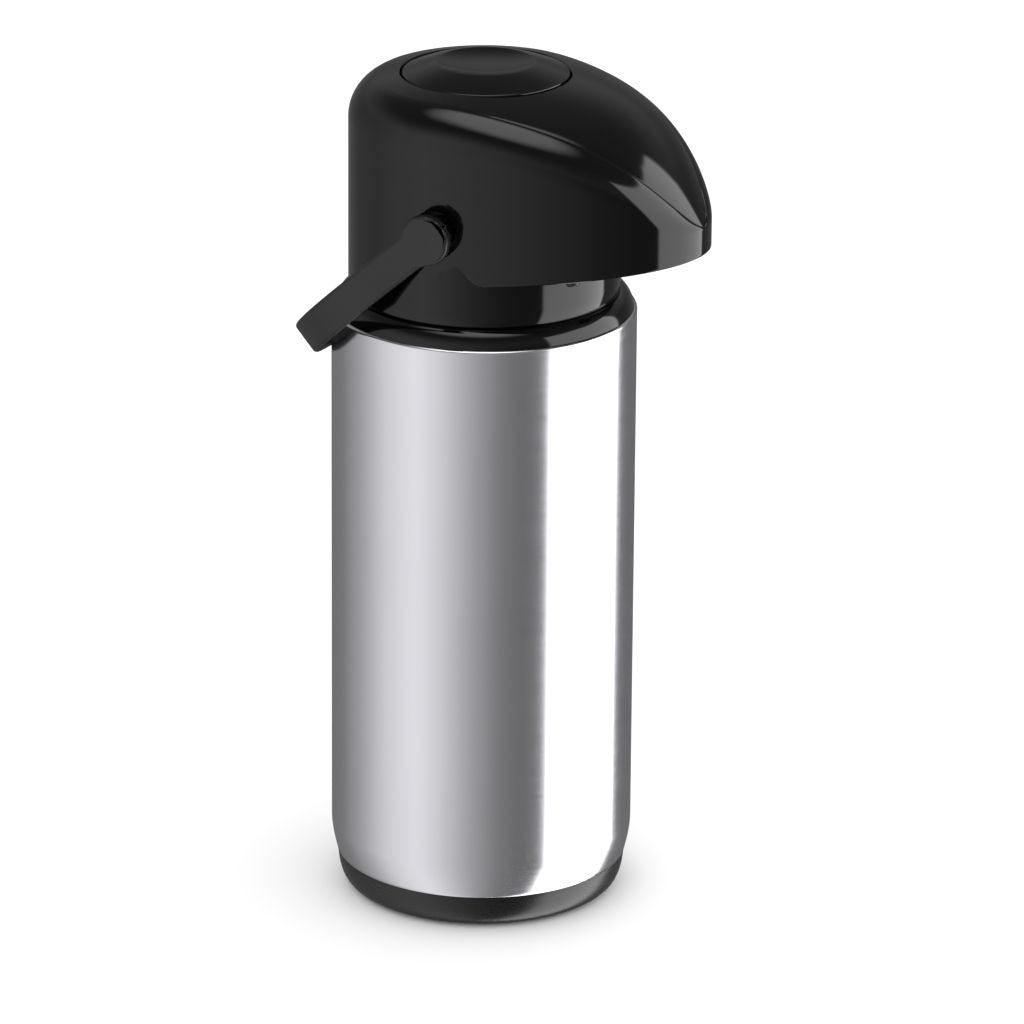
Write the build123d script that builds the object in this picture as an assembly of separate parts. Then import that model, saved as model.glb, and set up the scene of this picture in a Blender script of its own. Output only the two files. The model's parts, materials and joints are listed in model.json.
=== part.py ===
from build123d import *
from math import asin, cos, pi, radians, sin, sqrt
import os

# Thermal coffee airpot. Millimetres, +Z up, origin at the centre of the base on the surface it
# stands on. The beak points along -Y, the bail handle turns about X.

# ---- driving dimensions -------------------------------------------------------------------
BODY_R = 60.0            # outside of the steel jacket
JACKET_T = 0.6
JACKET_LOW = 14.4        # lower edge of the jacket
JACKET_HIGH = 243.0      # rolled rim of the jacket
JACKET_TUCK_R = 57.7     # the lower edge is rolled in to this radius
TUCK_H = 13.0

BASE_FLOOR = 0.6         # underside of the base cup; the foot ring stands proud of it
BASE_FOOT_R = 54.2
FOOT_RING_R = (45.0, 50.5)
CAP_R = 25.0             # screwed cap that carries the flask

FLASK_R = 52.0           # outer glass wall
FLASK_GAP = 4.5          # outside of one glass wall to outside of the other
GLASS_T = 1.5
FLASK_LOW = 31.0
FLASK_LIP = 232.0
MOUTH_R = 21.0           # clear mouth of the flask

SHOULDER_TOP = 250.0     # deck that the head's neck stands on
UPSTAND_R = (41.0, 44.0)  # threaded ring that the head screws onto
UPSTAND_TOP = 259.5

NECK_R = 53.4            # neck and back of the head
NECK_LOW = 250.3
SKIRT_TOP = 264.0        # the neck's skirt is a ring of its own, welded on here
BLEND_TOP = 277.0        # above the skirt the beak's flanks run out of the round neck up to here
BEAK_L = 93.75           # axis to the tip of the beak
SHELL_T = 2.4
NECK_STEP = 0.15         # the neck is set in this much where the beak stands over it
NECK_WALL_TOP = 284.0    # the neck's wall goes on up inside the beak
CORE_R = 20.0            # the form is drawn outside this radius, within the well
WELL_LOW = 312.0         # foot of the pad's well
UNDER_AT_AXIS = 264.8    # underside of the beak, carried back to the axis
UNDER_SLOPE = 0.1215
UNDER_CORNER = 10.0      # rounded corner where the beak leaves the neck
CORNER_AT = 14.5         # and how far forward of the axis it starts
CREASE_R = 43.2          # edge between the flattish top and the rounded flank
CREASE_L = 93.2
CREASE_Z = 335.64
WALL_TOP_BACK = 319.8    # top of the upright wall at the back
WALL_TOP_TIP = 286.8     # and at the tip of the beak

PAD_HOLE_R = 33.5
PAD_R = 32.6
PAD_EDGE_Z = 337.6
PAD_CROWN_Z = 342.4
DISH_R = 18.8
DISH_Z = 340.4
PAD_SKIRT_LOW = 314.0

DECK_LOW = 262.0         # plate that closes the neck of the head
DECK_T = 3.0
STOPPER_LOW = 238.5      # the stopper under the deck reaches down to the flask's mouth
PIPE_LOW = 270.4         # level run of the spout pipe under the bellows
PIPE_HIGH = 300.0        # top of its hump
PIPE_RISE = 40.0
PIPE_BEND = 6.0
TUBE_SPOUT_R = (3.0, 4.2)
NOZZLE_LOW = 276.0
COVER_T = 2.2
SCREW_AT = (37.5, 55.0)  # screws of the beak's cover, aside and forward
SCREW_R = 1.4
BELLOWS_R = (20.0, 26.0)
BELLOWS_Z = (278.0, 330.0)
BELLOWS_FOLDS = 6
SPRING_R = 14.0
SPRING_WIRE = 1.6
SPRING_TURNS = 7

TUBE_OFF = 12.0          # the siphon tube stands this far forward of the axis
TUBE_R = (3.4, 4.5)
TUBE_LOW = 53.0
NOZZLE_S = 66.0          # the spout's outlet, forward of the axis
BALL_R = 3.5
BALL_Z = 48.8

PIVOT_Z = 286.8
PIVOT_S = 3.5            # the pivots are this far forward of the axis
RECESS_R = 9.8
RECESS_FLOOR = 46.5
TRUNNION_R = 5.9
RUNNING_GAP = 0.05

BAIL_OUT = 63.0          # outer face of the handle's arms
BAIL_T = 4.8
BAIL_W = 14.0
BAIL_ARM = 34.0          # straight arm, pivot to where the loop begins
BAIL_EDGE = 1.6
EYE_R = 10.0             # round end of each arm
CLIP_X = 40.6            # groove in the trunnion, inside the head
CLIP_T = 1.2
BAIL_DROOP = 41.5        # degrees below level, pointing back, at rest


# ---- helpers ------------------------------------------------------------------------------
def turned(*edges):
    """A solid of revolution about Z from edges drawn as (radius, height)."""
    return revolve(Plane.XZ * make_face(Curve() + list(edges)), axis=Axis.Z)


def turned_outline(points):
    """A solid of revolution about Z from a closed polygon of (radius, height) points."""
    return revolve(Plane.XZ * make_face(Polyline(*points, close=True)), axis=Axis.Z)


def tube(r_in, r_out, low, high):
    return Pos(0, 0, low) * extrude(Circle(r_out) - Circle(r_in), high - low)


def disc(r, low, high):
    return Pos(0, 0, low) * extrude(Circle(r), high - low)


def ahead(s, z=0.0, x=0.0):
    """A place s forward of the axis, towards the beak."""
    return Pos(x, -s, z)


def cross_rod(r, x0, x1, y=0.0, z=0.0):
    """A round rod along X from x0 to x1."""
    return Pos(x0, y, z) * Rot(0, 90, 0) * extrude(Circle(r), x1 - x0)


def on_both_sides(solid):
    return [solid, mirror(solid, about=Plane.YZ)]


nodes = {}


def keep(name, *solids):
    nodes[name] = solids[0] if len(solids) == 1 else Compound(children=list(solids))


# ---- the vessel ---------------------------------------------------------------------------
def steel_jacket():
    knee = JACKET_LOW + TUCK_H
    inner_r = BODY_R - JACKET_T
    rim = JACKET_HIGH - 2.2
    lip_r = BODY_R - 2.6
    outer = [
        ThreePointArc((JACKET_TUCK_R, JACKET_LOW), (BODY_R - 0.55, knee - 6.5), (BODY_R, knee)),
        Line((BODY_R, knee), (BODY_R, rim)),
        ThreePointArc((BODY_R, rim), (BODY_R - 0.6, JACKET_HIGH - 0.6), (BODY_R - 1.6, JACKET_HIGH)),
        Line((BODY_R - 1.6, JACKET_HIGH), (lip_r, JACKET_HIGH)),
    ]
    inner = [
        Line((lip_r, JACKET_HIGH), (lip_r, JACKET_HIGH - JACKET_T)),
        Line((lip_r, JACKET_HIGH - JACKET_T), (inner_r - 1.0, JACKET_HIGH - JACKET_T)),
        Line((inner_r - 1.0, JACKET_HIGH - JACKET_T), (inner_r, rim)),
        Line((inner_r, rim), (inner_r, knee)),
        ThreePointArc(
            (inner_r, knee), (inner_r - 0.55, knee - 6.5), (JACKET_TUCK_R - JACKET_T, JACKET_LOW)
        ),
        Line((JACKET_TUCK_R - JACKET_T, JACKET_LOW), (JACKET_TUCK_R, JACKET_LOW)),
    ]
    return turned(*outer, *inner)


def base_cup():
    spigot_r = JACKET_TUCK_R - JACKET_T - 0.2
    ledge = JACKET_LOW - 0.1
    wall = [
        ThreePointArc((BASE_FOOT_R - 1.6, BASE_FLOOR), (BASE_FOOT_R + 1.0, 2.8), (56.4, 7.6)),
        ThreePointArc((56.4, 7.6), (57.2, 10.8), (JACKET_TUCK_R - 0.2, ledge)),
        Line((JACKET_TUCK_R - 0.2, ledge), (spigot_r, ledge)),
        Line((spigot_r, ledge), (spigot_r, 32.0)),
        Line((spigot_r, 32.0), (spigot_r - 2.0, 32.0)),
        Line((spigot_r - 2.0, 32.0), (spigot_r - 2.0, 10.0)),
        ThreePointArc((spigot_r - 2.0, 10.0), (spigot_r - 3.6, 5.0), (BASE_FOOT_R - 4.0, 3.6)),
        Line((BASE_FOOT_R - 4.0, 3.6), (0, 3.6)),
        Line((0, 3.6), (0, BASE_FLOOR)),
        Line((0, BASE_FLOOR), (BASE_FOOT_R - 1.6, BASE_FLOOR)),
    ]
    cup = turned(*wall)
    cup = cup + disc(CAP_R + 3.2, 3.5, 20.0) - disc(CAP_R + 0.2, 0, 21)
    groove = tube(FOOT_RING_R[0] - 0.1, FOOT_RING_R[1] + 0.1, 0, 2.2)
    web = Box(1.8, spigot_r - CAP_R - 5.0, 12)
    webs = [Rot(0, 0, 60 * i) * Pos(0, (spigot_r + CAP_R) / 2, 9.4) * web for i in range(6)]
    return cup - groove + webs


def foot_ring():
    low, high = FOOT_RING_R
    ring = tube(low, high, 0, 2.1)
    return chamfer(ring.faces().sort_by(Axis.Z)[0].edges(), 0.5)


def base_cap():
    """The cap screws into the base from below and lifts the flask against the collar."""
    cap = disc(CAP_R, 0, 4) + tube(CAP_R - 2.4, CAP_R, 3.5, 22.0)
    cap = cap + disc(CAP_R - 2.0, 14.0, 16.4)
    threads = [tube(CAP_R - 0.2, CAP_R + 0.15, 6 + 4 * i, 7.6 + 4 * i) for i in range(3)]
    cap = cap + threads
    grip = extrude(Pos(0, 13.5) * SlotOverall(18, 6), 2.4)
    return cap - [Rot(0, 0, 180 * i) * grip for i in range(2)]


def flask_cushion():
    """A soft rubber cup on the cap: the flask's rounded end sits in it."""
    return turned(
        Line((8.0, 16.5), (21.5, 16.5)),
        Line((21.5, 16.5), (24.0, 33.0)),
        ThreePointArc((24.0, 33.0), (16.0, 30.8), (8.0, 29.9)),
        Line((8.0, 29.9), (8.0, 16.5)),
    )


def flask_wall(r, low, neck_r, knee_low, knee_high):
    """One glass wall of the flask, round at the bottom and drawn in to a neck at the top."""
    lip = FLASK_LIP - 2.0

    def path(inset):
        rr, zz, nn = r - inset, low + inset, neck_r - inset
        waist = (knee_high + lip - 10) / 2
        return [
            Spline(
                (0, zz), (0.75 * rr, zz + 0.34 * (knee_low - zz)), (rr, knee_low),
                tangents=((1, 0), (0, 1)),
            ),
            Line((rr, knee_low), (rr, knee_high)),
            Spline(
                (rr, knee_high), ((rr + nn) / 2 + 2.5, waist), (nn, lip - 10),
                tangents=((0, 1), (0, 1)),
            ),
            Line((nn, lip - 10), (nn, lip)),
        ]
    closing = [Line((neck_r, lip), (neck_r - GLASS_T, lip)), Line((0, low), (0, low + GLASS_T))]
    return turned(*path(0), *path(GLASS_T), *closing)


def flask_outer_wall():
    wall = flask_wall(FLASK_R, FLASK_LOW, MOUTH_R + 5.0, 56.0, 186.0)
    tip = turned_outline([(0, 24.0), (1.6, 25.0), (3.4, FLASK_LOW + 0.6), (0, FLASK_LOW + 0.6)])
    return wall + tip


def flask_inner_wall():
    wall = flask_wall(FLASK_R - FLASK_GAP, FLASK_LOW + 7.0, MOUTH_R + GLASS_T, 60.0, 182.0)
    lip = turned(
        Line((MOUTH_R, FLASK_LIP - 2.0), (MOUTH_R + 5.0, FLASK_LIP - 2.0)),
        ThreePointArc(
            (MOUTH_R + 5.0, FLASK_LIP - 2.0), (MOUTH_R + 2.5, FLASK_LIP), (MOUTH_R, FLASK_LIP - 2.0)
        ),
    )
    return wall + lip


def flask_spacers():
    """Felt pads that hold the two glass walls apart."""
    ring = tube(FLASK_R - FLASK_GAP + 0.05, FLASK_R - GLASS_T - 0.05, 76, 88)
    wedge = Pos(0, 0, 82) * Box(12, 2 * FLASK_R, 14)
    half = Pos(0, FLASK_R / 2 + 20, 82) * Box(40, FLASK_R, 14)
    pad = ring & wedge & half
    return [Rot(0, 0, 120 * i + 30) * pad for i in range(3)]


def shoulder_collar():
    """Glossy ring on the jacket's rim; its upstand takes the head and its funnel the flask."""
    up_in, up_out = UPSTAND_R
    skirt_r = BODY_R - JACKET_T - 0.2
    throat = MOUTH_R + 6.5
    ring = turned(
        Line((BODY_R - 0.9, JACKET_HIGH + 0.1), (BODY_R - 2.8, JACKET_HIGH + 0.1)),
        Line((BODY_R - 2.8, JACKET_HIGH + 0.1), (BODY_R - 2.8, JACKET_HIGH - 1.0)),
        Line((BODY_R - 2.8, JACKET_HIGH - 1.0), (skirt_r - 1.0, JACKET_HIGH - 3.0)),
        Line((skirt_r - 1.0, JACKET_HIGH - 3.0), (skirt_r, JACKET_HIGH - 4.0)),
        Line((skirt_r, JACKET_HIGH - 4.0), (skirt_r, 226.0)),
        Line((skirt_r, 226.0), (skirt_r - 2.0, 226.0)),
        Line((skirt_r - 2.0, 226.0), (skirt_r - 4.0, SHOULDER_TOP - 3.0)),
        Line((skirt_r - 4.0, SHOULDER_TOP - 3.0), (up_in + 1.4, SHOULDER_TOP - 3.0)),
        Line((up_in + 1.4, SHOULDER_TOP - 3.0), (throat + 3.0, 235.4)),
        Line((throat + 3.0, 235.4), (throat - 2.0, 235.4)),
        Line((throat - 2.0, 235.4), (throat - 2.0, 237.4)),
        Line((throat - 2.0, 237.4), (up_in, SHOULDER_TOP)),
        Line((up_in, SHOULDER_TOP), (up_in, UPSTAND_TOP)),
        Line((up_in, UPSTAND_TOP), (up_out - 0.8, UPSTAND_TOP)),
        Line((up_out - 0.8, UPSTAND_TOP), (up_out, UPSTAND_TOP - 0.8)),
        Line((up_out, UPSTAND_TOP - 0.8), (up_out, SHOULDER_TOP)),
        Line((up_out, SHOULDER_TOP), (NECK_R + 0.6, SHOULDER_TOP)),
        ThreePointArc(
            (NECK_R + 0.6, SHOULDER_TOP), (BODY_R - 2.9, 247.6), (BODY_R - 0.9, JACKET_HIGH + 0.1)
        ),
    )
    threads = [tube(up_out - 0.2, up_out + 0.7, z, z + 1.4) for z in (252.6, 256.2)]
    return ring + threads


def neck_gasket():
    """Silicone ring squeezed between the flask's lip and the collar's throat."""
    return turned_outline([
        (MOUTH_R + 0.6, FLASK_LIP + 0.1), (MOUTH_R + 9.0, FLASK_LIP + 0.1),
        (MOUTH_R + 9.0, 235.3), (MOUTH_R + 0.6, 235.3),
    ])


# ---- outline of the head ------------------------------------------------------------------
def crease_half_width(s):
    return CREASE_R * max(0.0, 1 - (s / CREASE_L) ** 2) ** 0.625


def crease_height(s):
    u = max(0.0, s) / CREASE_L
    return CREASE_Z - 47.7 * u**2 + 59.76 * u**3 - 59.88 * u**4


def wall_top(s):
    u = min(1.0, max(0.0, s) / BEAK_L)
    return WALL_TOP_TIP + (WALL_TOP_BACK - WALL_TOP_TIP) * (1 - u**2.2) * (1 - u**14)


def top_height(s, q):
    """Height of the flattish top at s forward and q aside."""
    if s <= 0:
        return CREASE_Z + 5.2 * (1 - (s * s + q * q) / CREASE_R**2)
    u = s / CREASE_L
    width = max(crease_half_width(s), 0.01)
    return crease_height(s) + (5.2 + 6 * u * u) * (1 - u**4) * (1 - (q / width) ** 2)


def wall_reach(turn):
    """Distance from the axis to the upright wall, turn radians round from the beak."""
    if turn >= pi / 2:
        return NECK_R
    return 1 / sqrt((cos(turn) / BEAK_L) ** 2 + (sin(turn) / NECK_R) ** 2)


def crease_reach(turn):
    """Distance from the axis to the crease, found by halving."""
    if turn >= pi / 2:
        return CREASE_R
    low, high = 0.0, CREASE_L
    for _ in range(50):
        reach = (low + high) / 2
        if reach * sin(turn) > crease_half_width(reach * cos(turn)):
            high = reach
        else:
            low = reach
    return low


def head_section(turn, inset, core, low):
    """One upright section of the head, from the core radius out to the wall."""
    c, s = cos(turn), sin(turn)
    wall_r = wall_reach(turn) - inset
    edge_r = min(crease_reach(turn), wall_reach(turn) - 0.35) - 0.7 * inset
    edge_z = crease_height(crease_reach(turn) * c) - 0.9 * inset
    wall_z = min(wall_top(wall_reach(turn) * c) - 0.35 * inset, edge_z - 0.6)
    wide, high = wall_r - edge_r, edge_z - wall_z
    bend = (wide**2 + high**2) / (2 * wide)
    half = asin(min(1.0, high / bend)) / 2

    def at(r, z):
        return (r * s, -r * c, z)

    crest = []
    for i in range(5):
        r = edge_r + (core - edge_r) * i / 4
        drop = 0.9 * inset
        crest.append(at(r, top_height(r * c, r * s) - drop if i else edge_z))
    return Wire([
        Line(at(core, low), at(wall_r, low)),
        Line(at(wall_r, low), at(wall_r, wall_z)),
        ThreePointArc(
            at(wall_r, wall_z),
            at(wall_r - bend + bend * cos(half), wall_z + bend * sin(half)),
            at(edge_r, edge_z),
        ),
        Spline(*crest),
        Line(crest[-1], at(core, low)),
    ])


def half_head(inset, low, core):
    """The +X half of the head's form, or of its hollow when inset, outside the core radius."""
    turns = [0, 4, 8, 13, 19, 26, 34, 43, 53, 64, 76, 90, 108, 126, 144, 162, 180]
    return Solid.make_loft([head_section(radians(t), inset, core, low) for t in turns])


def underside(s):
    return UNDER_AT_AXIS + UNDER_SLOPE * s


def under_beak():
    """Everything below the beak and ahead of the neck; the wall's lower corner is round."""
    start, back, far, deep = CORNER_AT - 0.5, CORNER_AT, 110.0, 230.0
    top = underside(back) + UNDER_CORNER
    lean = UNDER_CORNER * (1 - sin(pi / 4))
    low = underside(back + UNDER_CORNER)
    face = make_face(Curve() + [
        Line((-far, deep), (-start, deep)),
        Line((-start, deep), (-start, top)),
        Line((-start, top), (-back, top)),
        ThreePointArc(
            (-back, top), (-back - lean, top - UNDER_CORNER + lean), (-back - UNDER_CORNER, low)
        ),
        Line((-back - UNDER_CORNER, low), (-far, underside(far))),
        Line((-far, underside(far)), (-far, deep)),
    ])
    slab = Pos(-70, 0, 0) * extrude(Plane.YZ * face, 140)
    return slab - disc(NECK_R - NECK_STEP, 220, 300)


def neck_flare():
    """What is cut off the flanks between the axis and the beak's corner to meet the round neck."""
    low, near, far = SKIRT_TOP - 4.0, 3.0, CORNER_AT
    outside = turned_outline([
        (NECK_R + 0.08, low), (NECK_R + 0.08, SKIRT_TOP + 2.0), (NECK_R + 1.6, BLEND_TOP),
        (NECK_R + 20.0, BLEND_TOP), (NECK_R + 20.0, low),
    ])
    return outside & ahead((near + far) / 2, z=SKIRT_TOP) * Box(160, far - near, 60)


# ---- the head -----------------------------------------------------------------------------
def neck_skirt():
    """Ring at the foot of the head that stands on the shoulder."""
    return tube(NECK_R - SHELL_T - NECK_STEP, NECK_R - NECK_STEP, NECK_LOW, SKIRT_TOP)


def head_shell():
    """Moulded beak with the pad's well and a bearing each side for the handle."""
    neck_in, neck_out = NECK_R - SHELL_T - NECK_STEP, NECK_R - 2 * NECK_STEP
    hollow = half_head(SHELL_T, NECK_LOW - 10, CORE_R - 4)
    hollow = hollow - tube(neck_in, neck_out, 230, NECK_WALL_TOP)
    hollow = hollow - tube(PAD_HOLE_R - 1, PAD_HOLE_R + 2.0, WELL_LOW, 350)
    shell = half_head(0, SKIRT_TOP, CORE_R) - under_beak() - hollow - disc(PAD_HOLE_R, 240, 350)
    shell = shell - neck_flare()
    pivot = {"y": -PIVOT_S, "z": PIVOT_Z}
    shell = shell + cross_rod(RECESS_R + 2.4, 42.0, 51.5, **pivot)
    shell = shell - cross_rod(RECESS_R, RECESS_FLOOR, 60.0, **pivot)
    shell = shell - cross_rod(TRUNNION_R + RUNNING_GAP, 38.0, 60.0, **pivot)
    aside, forward = SCREW_AT
    foot = underside(forward) + COVER_T + 0.6
    shell = shell + ahead(forward, x=aside) * tube(SCREW_R + 0.05, SCREW_R + 2.2, foot, foot + 16)
    return shell + mirror(shell, about=Plane.YZ)


def beak_cover():
    """Plate clipped up into the beak; the spout comes down through it."""
    near, far = 12.0, 96.0
    side = Polyline(
        (-near, underside(near) + 0.1), (-far, underside(far) + 0.1),
        (-far, underside(far) + 0.1 + COVER_T), (-near, underside(near) + 0.1 + COVER_T),
        close=True,
    )
    slab = Pos(-60, 0, 0) * extrude(Plane.YZ * make_face(side), 120)
    gap = SHELL_T + 0.25
    outline = Pos(0, 0, 255) * extrude(Ellipse(NECK_R - gap, BEAK_L - gap), 30)
    plate = slab & outline - disc(NECK_R + 0.1, 250, 290)
    plate = plate - ahead(NOZZLE_S) * disc(TUBE_SPOUT_R[1] + 2.2, 230, 310)
    aside, forward = SCREW_AT
    return plate - on_both_sides(ahead(forward, x=aside) * disc(SCREW_R + 0.2, 230, 310))


def head_deck():
    """Plate that closes the neck: thread skirt, stopper, bellows seat and tube socket."""
    top = DECK_LOW + DECK_T
    wall_r = NECK_R - SHELL_T - NECK_STEP - 0.1
    skirt_in = UPSTAND_R[1] + 1.1
    deck = disc(wall_r, DECK_LOW, top)
    deck = deck + tube(skirt_in, skirt_in + 2.4, 251.0, DECK_LOW + 0.5)
    deck = deck + disc(UPSTAND_R[0] - 5.0, 250.5, DECK_LOW + 0.5)
    deck = deck + turned_outline([(0, STOPPER_LOW), (22.0, STOPPER_LOW), (36.0, 251.5), (0, 251.5)])
    deck = deck + ahead(TUBE_OFF) * tube(TUBE_R[1] + 2.5, TUBE_R[1] + 3.8, 229.0, STOPPER_LOW + 0.5)
    seat_r = BELLOWS_R[1] + 1.6
    deck = deck + tube(seat_r - 2.4, seat_r, top - 0.5, BELLOWS_Z[0])
    deck = deck + disc(seat_r, BELLOWS_Z[0] - 2.4, BELLOWS_Z[0] - 0.1)
    slot = ahead(seat_r - 2, top + 5.2) * Box(12.0, 36.0, 10.4)
    deck = deck - slot - ahead(TUBE_OFF) * disc(TUBE_SPOUT_R[1] + 0.1, 230, 280)
    air = Pos(0, 14.0) * disc(2.2, 230, 290)
    return deck - air


def mouth_seal():
    """Silicone ring that seals the head on the collar's upstand."""
    return tube(UPSTAND_R[0] - 0.6, UPSTAND_R[1] + 0.6, UPSTAND_TOP + 0.2, DECK_LOW - 0.2)


def spout_path():
    """The spout pipe: up from the siphon, under the bellows, over a hump and down the nozzle."""
    return FilletPolyline(
        (0, -TUBE_OFF, 240.0), (0, -TUBE_OFF, PIPE_LOW), (0, -PIPE_RISE, PIPE_LOW),
        (0, -PIPE_RISE, PIPE_HIGH), (0, -NOZZLE_S, PIPE_HIGH), (0, -NOZZLE_S, NOZZLE_LOW),
        radius=PIPE_BEND,
    )


def spout_pipe():
    path = spout_path()
    start = Plane(origin=path @ 0, z_dir=path % 0)
    r_in, r_out = TUBE_SPOUT_R
    solid = sweep(start * Circle(r_out), path=path)
    return solid - sweep(start * Circle(r_in), path=path)


def spout_nozzle():
    """Tapered outlet on the end of the spout pipe, below the beak."""
    tip = NOZZLE_LOW - 6.0
    r = TUBE_SPOUT_R[1]
    return ahead(NOZZLE_S) * turned_outline([
        (r + 0.05, NOZZLE_LOW + 6), (r + 2.0, NOZZLE_LOW + 6), (r + 2.0, NOZZLE_LOW),
        (r + 0.6, tip), (r - 1.2, tip), (r - 0.9, NOZZLE_LOW - 0.1), (r + 0.05, NOZZLE_LOW - 0.1),
    ])


def siphon_tube():
    return ahead(TUBE_OFF) * tube(TUBE_R[0], TUBE_R[1], TUBE_LOW, STOPPER_LOW - 0.1)


def tube_grommet():
    """Rubber sleeve that grips the siphon tube where it meets the spout pipe."""
    return ahead(TUBE_OFF) * tube(TUBE_R[1] + 0.05, TUBE_R[1] + 2.4, 228.0, STOPPER_LOW - 0.1)


def valve_cage():
    """Foot of the siphon tube: a seat below the ball and a cross that stops it above."""
    r = BALL_R + 0.4
    cage = turned_outline([
        (2.2, 44.0), (r + 1.2, 44.0), (r + 1.2, 62.0), (TUBE_R[1] + 0.05, 62.0),
        (TUBE_R[1] + 0.05, TUBE_LOW - 0.1), (r, TUBE_LOW - 0.1), (r, 47.6), (2.2, 46.0),
    ])
    return ahead(TUBE_OFF) * cage


def check_ball():
    return ahead(TUBE_OFF, BALL_Z) * Sphere(BALL_R)


# ---- the pump -----------------------------------------------------------------------------
def bellows():
    low, high = BELLOWS_Z
    r_in, r_out = BELLOWS_R
    pitch = (high - low) / BELLOWS_FOLDS
    outer = [(r_out, low)]
    inner = [(r_out - 1.2, low)]
    for i in range(BELLOWS_FOLDS):
        base = low + pitch * i
        outer += [(r_out, base + 1.6), (r_in, base + pitch / 2), (r_out, base + pitch - 1.6)]
        inner += [(r_out - 1.2, base + 1.6), (r_in - 1.2, base + pitch / 2),
                  (r_out - 1.2, base + pitch - 1.6)]
    outer.append((r_out, high))
    inner.append((r_out - 1.2, high))
    return turned_outline(outer + inner[::-1])


def return_spring():
    low, high = BELLOWS_Z[0] + SPRING_WIRE, BELLOWS_Z[1] - SPRING_WIRE
    coil = Helix(pitch=(high - low) / SPRING_TURNS, height=high - low, radius=SPRING_R)
    end = Plane(origin=coil @ 0, z_dir=coil % 0)
    return Pos(0, 0, low) * sweep(end * Circle(SPRING_WIRE / 2), path=coil, is_frenet=True)


def bellows_plate():
    high = BELLOWS_Z[1]
    plate = disc(BELLOWS_R[1] + 1.0, high + 0.1, high + 2.6)
    return plate - disc(4.0, high - 1, high + 4)


def air_valve():
    """Rubber mushroom under the pad that shuts the plate's air hole when it is pressed."""
    high = BELLOWS_Z[1] + 2.7
    return turned_outline([
        (0, high - 3.4), (2.4, high - 2.6), (2.4, high), (7.0, high), (7.4, high + 1.4), (0, high + 1.4)
    ])


def push_pad():
    stem_low = BELLOWS_Z[1] + 4.2
    return turned(
        Line((0, stem_low), (8.0, stem_low)),
        Line((8.0, stem_low), (8.0, DISH_Z - 2.6)),
        Line((8.0, DISH_Z - 2.6), (PAD_R - 2.2, PAD_EDGE_Z - 3.0)),
        Line((PAD_R - 2.2, PAD_EDGE_Z - 3.0), (PAD_R - 2.2, PAD_SKIRT_LOW)),
        Line((PAD_R - 2.2, PAD_SKIRT_LOW), (PAD_R, PAD_SKIRT_LOW)),
        Line((PAD_R, PAD_SKIRT_LOW), (PAD_R, PAD_EDGE_Z - 0.8)),
        ThreePointArc(
            (PAD_R, PAD_EDGE_Z - 0.8), (PAD_R - 0.25, PAD_EDGE_Z - 0.2), (PAD_R - 0.8, PAD_EDGE_Z)
        ),
        ThreePointArc(
            (PAD_R - 0.8, PAD_EDGE_Z), (26.0, PAD_EDGE_Z + 2.6), (DISH_R, PAD_CROWN_Z)
        ),
        Spline(
            (DISH_R, PAD_CROWN_Z), (DISH_R / 2, DISH_Z + 0.5), (0, DISH_Z),
            tangents=((-1, -0.3), (-1, 0)),
        ),
        Line((0, DISH_Z), (0, stem_low)),
    )


# ---- the handle ---------------------------------------------------------------------------
def bail_blank():
    """The loop seen square on, with its arms along +Y from the pivot."""
    outer = Pos(0, BAIL_ARM / 2) * Rectangle(2 * BAIL_OUT, BAIL_ARM) + Pos(0, BAIL_ARM) * Circle(BAIL_OUT)
    inner_r = BAIL_OUT - BAIL_T
    inner = Pos(0, BAIL_ARM / 2) * Rectangle(2 * inner_r, BAIL_ARM) + Pos(0, BAIL_ARM) * Circle(inner_r)
    loop = outer - inner
    loop = loop & Pos(0, BAIL_ARM / 2 + BAIL_OUT / 2) * Rectangle(3 * BAIL_OUT, BAIL_ARM + BAIL_OUT)
    return extrude(loop, BAIL_W / 2, both=True)


def bail_handle():
    """Sprung plastic loop with an eye and an inward trunnion at each end."""
    blank = bail_blank()
    blank = fillet(blank.edges().filter_by(lambda e: e.length > 40), BAIL_EDGE)
    inner = BAIL_OUT - BAIL_T
    eye = cross_rod(EYE_R, inner, BAIL_OUT)
    eye = fillet(eye.edges().filter_by(GeomType.CIRCLE), BAIL_EDGE)
    trunnion = cross_rod(TRUNNION_R, 40.0, inner + 0.5)
    groove = cross_rod(TRUNNION_R + 1, CLIP_X, CLIP_X + CLIP_T) - cross_rod(
        TRUNNION_R - 1.2, CLIP_X - 1, CLIP_X + CLIP_T + 1
    )
    loop = blank + on_both_sides(eye) + on_both_sides(trunnion - groove)
    return ahead(PIVOT_S, z=PIVOT_Z) * Rot(-BAIL_DROOP, 0, 0) * loop


def trunnion_clips():
    """Spring clips that keep the trunnions in the head."""
    pivot = {"y": -PIVOT_S, "z": PIVOT_Z}
    ring = cross_rod(TRUNNION_R + 2.2, CLIP_X + 0.1, CLIP_X + CLIP_T - 0.1, **pivot)
    ring = ring - cross_rod(TRUNNION_R - 1.15, CLIP_X - 1, CLIP_X + CLIP_T + 1, **pivot)
    gap = Pos(CLIP_X, -PIVOT_S, PIVOT_Z - 6) * Box(8, 6, 8)
    return on_both_sides(ring - gap)


def cover_screws():
    """Self-tapping screws that hold the cover up to the beak."""
    aside, forward = SCREW_AT
    seat = underside(forward) - 0.4
    head = turned_outline([
        (0, seat - 1.8), (2.2, seat - 1.8), (2.7, seat - 1.1), (2.7, seat), (0, seat),
    ])
    return on_both_sides(ahead(forward, x=aside) * (head + disc(SCREW_R, seat - 0.1, seat + 14)))


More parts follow.
